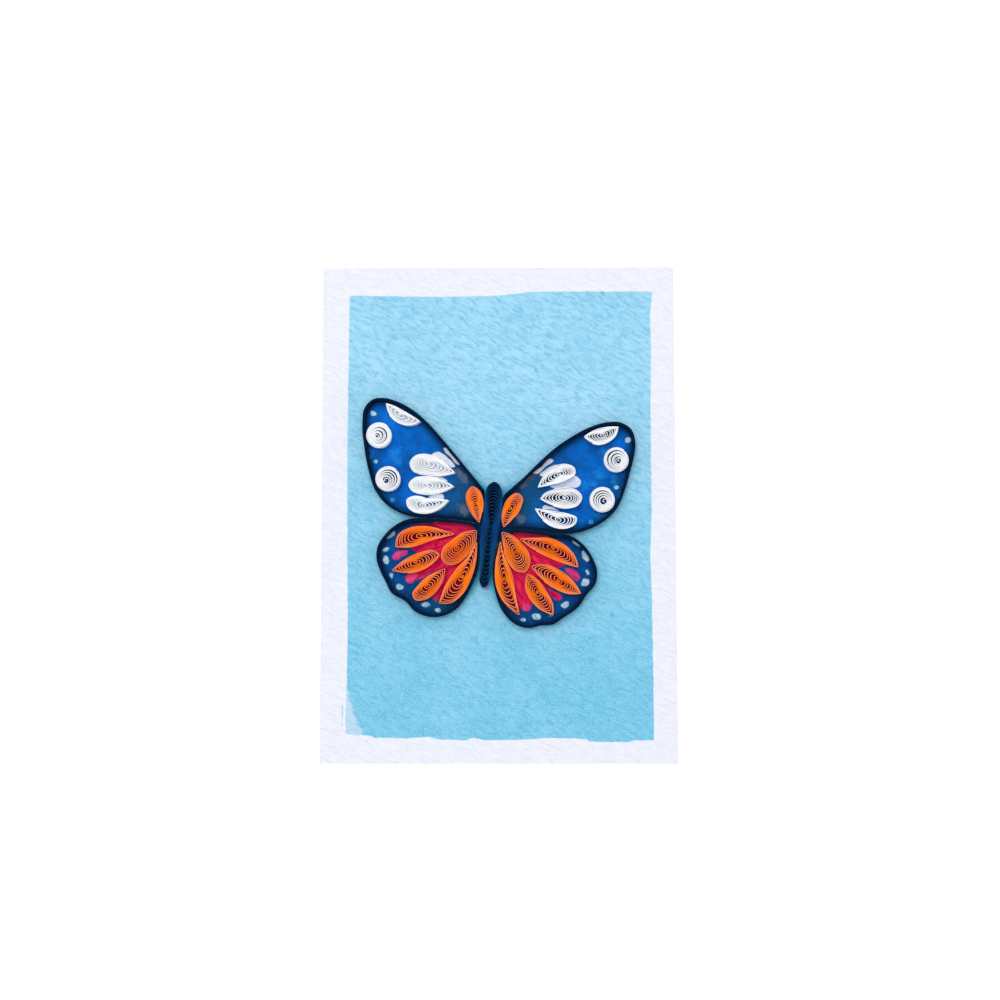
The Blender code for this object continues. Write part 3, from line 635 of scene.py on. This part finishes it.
def edging_tree():
    """Several layers of strip side by side along a line, the inner ones over part of its run."""
    tree, add, sockets = new_group(
        "edging_layers", "Layers", "Paper", "Pitch", "Step", "Low", "High", "Return From", "Return To",
        "Wobble", "Seed", "Material")
    even = add("ResampleCurve", {"Curve": sockets["Geometry"], "Length": sockets["Step"]}, mode="LENGTH")
    layers = add("DuplicateElements", {"Geometry": even, "Amount": sockets["Layers"]}, domain="SPLINE")
    number = layers.outputs["Duplicate Index"]
    half = add("Math", (sockets["Paper"], 0.5), "MULTIPLY")
    depth = add("Math", (number, sockets["Pitch"], half), "MULTIPLY_ADD")
    loose = add("Math", (number, 7.3, sockets["Seed"]), "MULTIPLY_ADD")
    ripple = add("TexNoise", {"W": loose, "Scale": 160.0, "Detail": 1.0}, noise_dimensions="4D")
    ripple = add("Math", (ripple, 0.5), "SUBTRACT")
    ripple = add("Math", (ripple, sockets["Wobble"]), "MULTIPLY")
    inner = add("Math", (number, 1.0), "MINIMUM")
    depth = add("Math", (ripple, inner, depth), "MULTIPLY_ADD")
    inward = add("VectorMath", ((0.0, 0.0, 1.0), add("InputTangent")), "CROSS_PRODUCT")
    shift = add("VectorMath", (inward, depth), "SCALE")
    middle = add("Math", (sockets["Low"], sockets["High"]))
    middle = add("Math", (middle, 0.5), "MULTIPLY")
    middle = add("Math", (ripple, 0.8, middle), "MULTIPLY_ADD")
    lift = add("CombineXYZ", {"Z": middle})
    shift = add("VectorMath", (shift, lift))
    laid = add("SetPosition", {"Geometry": layers, "Offset": shift})
    along = add("SplineParameter")
    early = add("Compare", (along, sockets["Return From"]), "LESS_THAN")
    late = add("Compare", (along, sockets["Return To"]))
    beyond = add("BooleanMath", (early, late), "OR")
    spare = add("BooleanMath", (beyond, inner))
    cut = add("DeleteGeometry", {"Geometry": laid, "Selection": spare})
    stand_on_edge(add, cut, sockets)
    return tree


def dyed_paper(name, top, lone_edge, wall, foot, relief, painted_glow):
    """Solid-dyed paper strip: painted shade that darkens its walls towards the foot, its cut edge paler
    where it stands alone, and a painted glow on its walls that stands in for light through thin paper."""
    mat, add, shader, places = matt_paper(name, 0.78)
    up = add("SeparateXYZ", (places,)).outputs["Z"]
    # Painted shade: the top edge keeps the paper's own colour, and the walls below take darker wall and
    # foot colours
    high = add("MapRange", (up, strip_high - CUT_DEPTH, strip_high - CUT_SPARE))
    deep = add("MapRange", (up, strip_high - CUT_DEPTH, sheet_high.z + 1.0 * MM))
    fibres = add("TexNoise", (places, 2400.0))
    patchy = add("TexNoise", (places, 260.0))
    uneven = add("MapRange", {"Value": patchy, "From Min": 0.4, "From Max": 0.7, "To Max": 0.35})
    side = add("Mix", (deep, wall, foot), data_type="RGBA")
    alone = add("Attribute", attribute_name="alone").outputs["Fac"]
    crown = add("Mix", (alone, top, lone_edge), data_type="RGBA")
    crown = add("Mix", (uneven, crown, wall), data_type="RGBA")
    colour = add("Mix", (high, side, crown), data_type="RGBA")
    bump = add("Bump", {"Height": fibres, "Strength": relief, "Distance": 0.04 * MM})
    plug(shader, {"Base Color": colour, "Normal": bump})
    # Painted glow on the walls, standing in for light coming through the paper
    if painted_glow:
        glow = add("MapRange", {"Value": high, "To Min": painted_glow, "To Max": 0.0})
        plug(shader, {"Emission Color": colour, "Emission Strength": glow})
    return mat


# Solid-dyed navy quilling paper: the same colour right through, dull and faintly fibrous. Its cut
# top edge keeps that navy, and painted shade darkens its walls to nearly black in the narrow gaps.
navy = dyed_paper("navy_quilling_paper", "#06213f", "#06213f", "#03142b", "#010a18", 0.4, 0.0)
edging_layers = edging_tree()

# Share of each border that the inner layers cover; a forewing's is covered throughout
RETURNS = {"hindwing_edge_left": (0.0, 0.88), "hindwing_edge_right": (0.2, 1.0)}
for seed, (node, line) in enumerate(wings.items()):
    first, last = RETURNS.get(node, (0.0, 1.0))
    mesh = worked(node + "_strip", line, False, edging_layers, {
        "Layers": EDGE_LAYERS, "Paper": EDGE_PAPER, "Pitch": EDGE_PITCH, "Step": EDGE_STEP,
        "Low": sheet_high.z - EDGE_SUNK, "High": strip_high, "Return From": first,
        "Return To": last, "Wobble": EDGE_WOBBLE, "Seed": EDGE_SEED * seed, "Material": navy})
    finish_piece(node + "_strip", mesh, navy, node)


# Body: one long navy strip rolled into a coil, pressed narrow and drawn out, so that its turns
# lie close along both sides and open in arches at the head and the tail.
COIL_PAPER = 0.22 * MM
BODY_PAPER = 0.18 * MM
COIL_STEPS = 84
COIL_GROW = 0.12 * MM
COIL_LAP = 0.7
COIL_START = 7
COIL_SNUG = 0.99
COIL_STRAY = 0.12 * MM
COIL_SUNK = 0.05 * MM
HEART = 0.5 * MM
PITCH_MOST = 0.3 * MM


def coil_tree():
    """A strip wound inwards round an outline, packed at the sides, open at the ends, with a round
    heart where its end was held in the slot of the rolling tool."""
    tree, add, sockets = new_group(
        "wound_coil", "Eye", "Turns", "Steps", "Paper", "Pitch", "Low", "High", "Grow", "Heart", "Side Hug",
        "Tip Hug", "Tip Reach", "Lap", "Rounding", "Packed", "Bunching", "Bunch Turns", "Seed", "Material")
    outward = add("VectorMath", (add("InputTangent"), (0.0, 0.0, 1.0)), "CROSS_PRODUCT")
    shift = add("VectorMath", (outward, sockets["Grow"]), "SCALE")
    outline = add("SetPosition", {"Geometry": sockets["Geometry"], "Offset": shift})
    place = add("InputPosition")
    reach = add("VectorMath", (place, sockets["Eye"]), "DISTANCE")
    spans = add("AttributeStatistic", {"Geometry": outline, "Attribute": reach})
    softened = add("BlurAttribute", {"Value": place, "Iterations": 40}, data_type="FLOAT_VECTOR")

    # The strip is a row of beads, numbered from its outer end; turn counts the turns wound so far.
    length = add("Math", (sockets["Turns"], 0.5))
    count = add("Math", (length, sockets["Steps"], 1.0), "MULTIPLY_ADD")
    beads = add("MeshLine", (count,))
    spiral = add("MeshToCurve", (beads,))
    number = add("InputIndex")
    turn = add("Math", (number, sockets["Steps"]), "DIVIDE")
    around = add("Math", (turn,), "FRACT")
    sharp, soft = (
        add("SampleCurve", {"Curves": outline, "Value": found, "Factor": around}, data_type="FLOAT_VECTOR")
        for found in (place, softened))
    wound = add("Math", (turn, 1.0), "MAXIMUM")
    wound = add("Math", (wound, sockets["Turns"]), "MINIMUM")

    # How far towards an end of the coil a bead looks from the eye: 0 at the sides, 1 at the tip
    there = add("VectorMath", (sharp, sockets["Eye"]), "DISTANCE")
    at_end = add("MapRange", (there, spans.outputs["Min"], spans.outputs["Max"]))
    at_end = add("Math", (at_end, sockets["Tip Reach"]), "POWER")
    rounding = add("MapRange", {
        "Value": wound, "From Min": 1.0, "From Max": sockets["Turns"], "To Max": sockets["Rounding"]})
    target = add("Mix", (rounding, sharp, soft), data_type="VECTOR")
    whole = add("VectorMath", (target, sockets["Eye"]), "DISTANCE")

    # Depth in from the outline: the papers wound so far and a share of the air that is left
    papers = add("Math", (wound, sockets["Pitch"]), "MULTIPLY")
    solid = add("Math", (sockets["Turns"], sockets["Pitch"], sockets["Heart"]), "MULTIPLY_ADD")
    air = add("Math", (whole, solid), "SUBTRACT")
    air = add("Math", (air, 0.0), "MAXIMUM")
    packed = add("Math", (sockets["Turns"], sockets["Packed"]), "MULTIPLY")
    packed = add("Math", (packed, 1.0), "MAXIMUM")
    beat = add("Math", (turn, packed), "SUBTRACT")
    beat = add("Math", (beat, sockets["Bunch Turns"]), "DIVIDE")
    beat = add("Math", (beat, math.tau, sockets["Seed"]), "MULTIPLY_ADD")
    beat = add("Math", (beat,), "SINE")
    gives = add("MapRange", (beat, 0.3, 0.7))
    gives = add("Mix", (sockets["Bunching"], 1.0, gives))
    run = add("MapRange", (turn, packed, sockets["Turns"]))
    for limit, side in ((packed, "GREATER_THAN"), (sockets["Turns"], "LESS_THAN")):
        gives = add("Math", (gives, add("Math", (turn, limit), side)), "MULTIPLY")
    shares = []
    for hug in ("Side Hug", "Tip Hug"):
        rate = add("Math", (sockets[hug], 1.0), "SUBTRACT")
        rate = add("Math", (run, rate), "POWER")
        rate = add("Math", (rate, gives), "MULTIPLY")
        summed = add("AccumulateField", (rate,))
        so_far, _, total = [socket for socket in summed.outputs if socket.enabled]
        shares.append(add("Math", (so_far, total), "DIVIDE"))
    share = add("Mix", (at_end, shares[0], shares[1]))
    depth = add("Math", (air, share, papers), "MULTIPLY_ADD")
    under = add("MapRange", (turn, sockets["Lap"], 1.0), interpolation_type="SMOOTHSTEP")
    depth = add("Math", (depth, under), "MULTIPLY")
    beyond = add("Math", (turn, sockets["Turns"]), "SUBTRACT")
    beyond = add("Math", (beyond, 0.0), "MAXIMUM")
    hook = add("Math", (beyond, sockets["Heart"]), "MULTIPLY")
    depth = add("Math", (hook, 2.0, depth), "MULTIPLY_ADD")
    gone = add("Math", (depth, whole), "DIVIDE")
    target = add("Mix", (gone, target, sockets["Eye"]), data_type="VECTOR")
    middle = add("Math", (sockets["Low"], sockets["High"]))
    middle = add("Math", (middle, 0.5), "MULTIPLY")
    drift = add("Math", (turn, sockets["Seed"]))
    stray = add("TexNoise", {"W": drift, "Scale": 2.3, "Detail": 0.0}, noise_dimensions="1D")
    stray = add("Math", (stray, 0.5), "SUBTRACT")
    middle = add("Math", (stray, COIL_STRAY, middle), "MULTIPLY_ADD")
    lift = add("CombineXYZ", {"Z": middle})
    target = add("VectorMath", (target, lift))
    outermost = add("Math", (turn, 1.0), "LESS_THAN")
    outermost = add("Math", (outermost, 0.5), "MULTIPLY")
    alone = add("Math", (at_end, outermost), "MAXIMUM")
    noted = add("StoreNamedAttribute", {"Geometry": spiral, "Name": "alone", "Value": alone})
    placed = add("SetPosition", {"Geometry": noted, "Position": target})
    stand_on_edge(add, placed, sockets)
    return tree


def wind(node, line, eye, most_turns, seed, mat, paper=COIL_PAPER, side_hug=3.2, tip_hug=1.1,
         tip_reach=1.6, rounding=0.8, filled=0.78, packed=0.1, bunching=0.5, bunch_turns=1.7,
         heart=HEART, lean=(0.0, 0.0)):
    """Wind one coil in place of its solid, from an outer end that lies a little past its tip. Its
    foot stands aside of its top by the lean."""
    if not turns_left(line + line[:1]):
        line = line[:1] + line[:0:-1]
    start = len(line) // COIL_START
    line = line[start:] + line[:start]
    nearest = min((point - eye).length for point in line) + COIL_GROW
    room = filled * (nearest - heart)
    turns = float(min(most_turns, math.floor(room / paper)))
    pitch = min(room / turns, PITCH_MOST)
    paper = pitch * COIL_SNUG
    mesh = worked(node + "_coil", line, True, wound_coil, {
        "Eye": (eye.x, eye.y, 0.0), "Turns": turns, "Steps": COIL_STEPS, "Paper": paper,
        "Pitch": pitch, "Low": sheet_high.z - COIL_SUNK, "High": strip_high,
        "Grow": COIL_GROW - paper / 2, "Heart": heart, "Side Hug": side_hug, "Tip Hug": tip_hug,
        "Tip Reach": tip_reach, "Lap": COIL_LAP, "Rounding": rounding, "Packed": packed,
        "Bunching": bunching, "Bunch Turns": bunch_turns, "Seed": math.tau * seed, "Material": mat})
    for vert in mesh.vertices:
        low_down = (strip_high - vert.co.z) / (strip_high - sheet_high.z)
        vert.co.xy += Vector(lean) * MM * low_down
    finish_piece(node + "_coil", mesh, mat, node)


wound_coil = coil_tree()

# The body's navy paper is a lighter blue on its cut edges than that of the wings; painted shade
# darkens its walls to nearly black towards the foot
body_navy = dyed_paper(
    "navy_quilling_paper_of_the_body", "#063a74", "#14507c", "#042450", "#01091a", 0.4, 0.0)
wind(
    "body", body_line, body_eye, 14, 1, body_navy, paper=BODY_PAPER, tip_hug=1.0,
    side_hug=2.4, tip_reach=1.0, rounding=0.4, filled=0.95, bunching=0.3, bunch_turns=2.3)


# White coils of the forewings: white quilling paper rolled up, let loose and pinched. Two are
# round, one is a leaf pinched at both ends, and three are teardrops, glued on the blue.

# White quilling paper: clean cut edges, and walls darkened towards the foot by painted shade, tinted
# blue as a painted reflection of the wings. The left coils get lighter walls and a faint painted glow,
# standing in for daylight coming through the paper.
white = dyed_paper("white_quilling_paper", "#f3f6fb", "#f7fafe", "#eef2fa", "#a9bedd", 0.15, 0.0)
white_with_painted_glow = dyed_paper(
    "white_quilling_paper_with_painted_glow", "#f3f6fb", "#f7fafe", "#f5f6f9", "#eceff3", 0.15, 0.11)
SPOT_PAPER = 0.2 * MM

# Paper, share of the turns that is packed, and heart: of a leaf and of a teardrop
LEAF = (0.24 * MM, 0.35, 0.35 * MM)
DROP = (0.26 * MM, 0.25, HEART)
SEED_STEP = 0.37

# The left coils lean out at the foot, so that the light reaches down their walls; in millimetres
LEFT_LEAN = (0.38, 0.0)

# Round coils: where the eye lies from the middle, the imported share, the turns from one loose place
# to the next, and the heart, in millimetres
SPOTS = {
    "spot_left_upper": (-0.95, -0.2, 0.45, 3.0, 0.6), "spot_left_lower": (-0.85, -0.6, 0.36, 2.1, 1.05),
    "spot_right_upper": (0.9, -0.4, 0.27, 2.9, 1.0), "spot_right_lower": (0.6, -0.75, 0.38, 2.0, 1.1)}
WHITE_COILS = {
    "tip_leaf_left": ((-35.2, 34.9), (0, 5), [
        (-40.1, 39), (-39.2, 35.5), (-36.8, 32.7), (-32.4, 31.2), (-29.4, 31.8), (-28.1, 32.6),
        (-31.3, 34.7), (-34.2, 36.4), (-37, 37.9)]),
    "tip_leaf_right": ((37, 27.4), (0, 6), [
        (30.6, 26.8), (32.8, 25), (34.9, 24.1), (37.3, 24.2), (40, 25.4), (42, 27.4), (42.8, 30.3),
        (39, 30.2), (35.9, 29.6), (33, 28.4)]),
    "forewing_drop_left_1": ((-25.1, 17.5), (0,), [
        (-15.4, 14), (-19.1, 13.2), (-25, 13.2), (-30.7, 15.2), (-31.4, 17.6), (-29.4, 20.1),
        (-26.6, 20.7), (-21.5, 19.2), (-17, 15.7)]),
    "forewing_drop_left_2": ((-25.6, 9.5), (0,), [
        (-15.9, 9.2), (-20.6, 7.1), (-26.5, 6.4), (-31, 8), (-31.8, 9.7), (-30, 12), (-26.5, 12.7),
        (-20.6, 11.8)]),
    "forewing_drop_left_3": ((-26.7, 2.5), (0,), [
        (-17.8, 4.2), (-21.5, 0.9), (-24.6, -0.3), (-27.2, -0.45), (-30.3, 0.3), (-32.3, 2.3),
        (-32.4, 4.5), (-30.3, 5.6), (-25.5, 5.1)]),
    "forewing_drop_right_1": ((21.9, 13.6), (0,), [
        (14.1, 8.8), (19.5, 9.8), (24.6, 11.6), (27.4, 13.8), (27.2, 15.4), (23.6, 17), (20.4, 16.2),
        (16.8, 13.4)]),
    "forewing_drop_right_2": ((23.7, 5), (0,), [
        (14.8, 4.7), (19, 2.4), (24.5, 1.3), (28.6, 2.7), (29.7, 5.3), (27.8, 7.7), (23.6, 8.5),
        (18.5, 7.4)]),
    "forewing_drop_right_3": ((20.8, -2.7), (0,), [
        (13, 1.2), (15.3, -2.3), (18.5, -4.9), (21.8, -5.9), (25, -5.6), (27.4, -4.1), (27.8, -2.2),
        (25.5, -1), (20, 0.1)])}

for seed, (node, (shift_x, shift_y, packed, bunch_turns, heart)) in enumerate(SPOTS.items()):
    low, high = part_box(node)
    centre = ((low + high) / 2).to_2d()
    radius = (high - low).to_2d().length / math.sqrt(8.0)
    circle = []
    for k in range(COIL_STEPS):
        angle = math.tau * k / COIL_STEPS
        circle.append(centre + Vector((math.cos(angle), math.sin(angle))) * radius)
    wind(
        node, circle, centre + Vector((shift_x, shift_y)) * MM, 13, seed, white,
        paper=SPOT_PAPER, side_hug=1.0, tip_hug=1.0, filled=0.97, packed=packed, bunching=1.0,
        bunch_turns=bunch_turns, heart=heart * MM)
for seed, (node, (eye, corners, path)) in enumerate(WHITE_COILS.items()):
    paper, packed, heart = LEAF if "leaf" in node else DROP
    mat, lean = (white_with_painted_glow, LEFT_LEAN) if "left" in node else (white, (0.0, 0.0))
    wind(
        node, smooth(path, corners, closed=True), Vector(eye) * MM, 8, 30 + SEED_STEP * seed, mat,
        paper=paper, side_hug=2.4, filled=0.9, packed=packed, lean=lean, heart=heart)


# Orange coils: the same strip in orange, pinched to teardrops and leaves. Two shoulder drops lie
# beside the body over the roots of the forewings, and five petals fan out in each hindwing.

# Orange quilling paper: bright cut edges, paler where one strip stands alone, and walls with a faint
# painted glow in place of light through the paper, darkening to red in the gaps as painted shade.
orange = dyed_paper("orange_quilling_paper", "#ff7e14", "#f79a74", "#ff5c20", "#b42228", 0.2, 0.18)
ORANGE_COILS = {
    "shoulder_drop_left": ((-8.1, 3.3), (0,), [
        (-6.8, -3.8), (-9.2, -0.9), (-11, 3), (-11.3, 6.3), (-9.2, 9), (-6.8, 7.6), (-5.5, 4.5),
        (-5.8, -0.5)]),
    "shoulder_drop_right": ((4.5, 1.5), (0,), [
        (1.9, -5.4), (1.3, -2.5), (1.9, 1.5), (3.8, 5), (6.8, 6.6), (8.5, 5.2), (8.1, 2), (5.6, -2.1)]),
    "hind_petal_left_1": ((-27.6, -8.4), (0, 5), [
        (-15.4, -7.8), (-20.5, -6.1), (-26, -5.1), (-31.5, -5.7), (-35.5, -8.2), (-36.4, -12.3),
        (-31.5, -12.4), (-23.5, -9.9)]),
    "hind_petal_left_2": ((-14.6, -12.7), (0,), [
        (-7.7, -6.5), (-11.5, -7), (-16.2, -9.9), (-19.6, -13.1), (-20.1, -16.3), (-18, -18.6),
        (-15, -18.3), (-11.5, -15.8), (-8.3, -11.3)]),
    "hind_petal_left_3": ((-29.2, -17.8), (0, 4), [
        (-37.7, -20.7), (-32.5, -21.6), (-27.8, -20.8), (-22.5, -17.4), (-20.8, -15.2), (-22.5, -13.9),
        (-28, -14.5), (-33.5, -17.2)]),
    "hind_petal_left_4": ((-25, -26.2), (0,), [
        (-18.9, -20), (-23.8, -22.1), (-28.2, -25.9), (-30.3, -29.3), (-29.5, -30.9), (-26, -30.9),
        (-21.9, -27.9), (-19.5, -23.5)]),
    "hind_petal_left_5": ((-12.8, -23.2), (0, 4), [
        (-7.6, -10.6), (-10.8, -15.9), (-15.1, -20.6), (-18.9, -26.6), (-20.9, -32.2), (-17, -32.2),
        (-12.9, -29.2), (-9.9, -24), (-8, -17.3)]),
    "hind_petal_right_1": ((19.7, -12.9), (0, 4), [
        (7.6, -9.6), (12.5, -13.3), (17.5, -15.9), (23, -18.1), (28.3, -19.6), (26.9, -15.4),
        (23.6, -11.9), (19, -9.6), (13, -9.3)]),
    "hind_petal_right_2": ((6.3, -14.4), (0,), [
        (1.3, -7.1), (1.75, -12.5), (3.5, -17.8), (6.4, -20.9), (9.3, -21.2), (11.1, -18.6),
        (10.9, -15.2), (8.2, -11.2), (4.9, -8.4)]),
    "hind_petal_right_3": ((21.5, -24.3), (0, 4), [
        (11.7, -19.3), (15.8, -24.2), (20.5, -27.4), (25, -29), (29.2, -28.9), (25.6, -23.7),
        (20.8, -20.3), (15.2, -18.6)]),
    "hind_petal_right_4": ((13.9, -28.6), (0, 4), [
        (10.3, -21.8), (9.4, -25.4), (10.7, -29.8), (13.8, -33.7), (19.3, -36.5), (19.3, -33),
        (17.2, -28.6), (13.6, -23.8)]),
    "hind_petal_right_5": ((2.1, -23.9), (0, 5), [
        (0.75, -10.3), (-0.3, -14.5), (-1.05, -20), (-0.75, -26), (1.25, -30.8), (7.4, -36.5),
        (5.9, -28.5), (4.6, -21.5), (2, -15.6)])}

# How tightly the turns hug the sides, and how much of the coil they fill
SHOULDER = (3.4, 0.9)
PETAL = (2.8, 0.82)
ROUND_PETAL = (2.1, 0.74)
for seed, (node, (eye, corners, path)) in enumerate(ORANGE_COILS.items()):
    hug, filled = SHOULDER if "shoulder" in node else ROUND_PETAL if node.endswith("2") else PETAL
    wind(
        node, smooth(path, corners, closed=True), Vector(eye) * MM, 9, 50 + SEED_STEP * seed, orange,
        side_hug=hug, filled=filled)


# Studio: a plain white floor, an even white sky and one wide soft lamp high over the card, a little
# to its upper left, with the camera nearly straight above the card.
FLOOR_REACH = 3.0
FLOOR_LEVEL = -0.02 * MM
FLOOR_GLOW = 0.25
LAMP_PLACE = (-0.4, 0.6, 2.4)
LAMP_SIDE = 1.5
LAMP_POWER = 28.2
SKY_LIGHT = 0.665
CAMERA_PLACE = (0.00493, -0.02452, 0.45114)
CAMERA_TURN = (3.682, 0.555, -0.077)
CAMERA_LENS = 45.36


def background_seen(add):
    """1 for a ray that comes from the camera or was mirrored or let through on its way, otherwise 0."""
    rays = add("LightPath").outputs
    seen = add("Math", (rays["Is Camera Ray"], rays["Is Glossy Ray"]), "MAXIMUM")
    return add("Math", (seen, rays["Is Transmission Ray"]), "MAXIMUM")


floor_mesh = bpy.data.meshes.new("floor")
floor_corners = ((-1, -1), (1, -1), (1, 1), (-1, 1))
floor_mesh.from_pydata(
    [(x * FLOOR_REACH, y * FLOOR_REACH, FLOOR_LEVEL) for x, y in floor_corners], [], [(0, 1, 2, 3)])
put("floor", floor_mesh)

# White table top: plain and matt, so that only a soft shade shows round the card
floor_mat, add, shader, _ = matt_paper("white_table", 0.9)
glow = add("Math", (background_seen(add), FLOOR_GLOW), "MULTIPLY")
plug(shader, {"Base Color": "#f4f4f4", "Emission Color": "#ffffff", "Emission Strength": glow})
floor_mesh.materials.append(floor_mat)

world = bpy.data.worlds.new("even_sky")
world.use_nodes = True
bpy.context.scene.world = world
add = partial(add_node, world.node_tree)
strength = add("MapRange", {"Value": background_seen(add), "To Min": SKY_LIGHT})
plug(world.node_tree.nodes["Background"], {"Color": "#ffffff", "Strength": strength})

lamp_data = bpy.data.lights.new("soft_lamp", "AREA")
lamp_data.size = LAMP_SIDE
lamp_data.energy = LAMP_POWER
lamp = put("soft_lamp", lamp_data)
lamp.location = LAMP_PLACE
lamp.rotation_euler = (-Vector(LAMP_PLACE)).to_track_quat("-Z", "Y").to_euler()

camera_data = bpy.data.cameras.new("camera")
camera_data.lens = CAMERA_LENS
camera = put("camera", camera_data)
camera.location = CAMERA_PLACE
camera.rotation_euler = Euler([math.radians(turn) for turn in CAMERA_TURN])
bpy.context.scene.camera = camera
bpy.context.scene.view_settings.view_transform = "Standard"
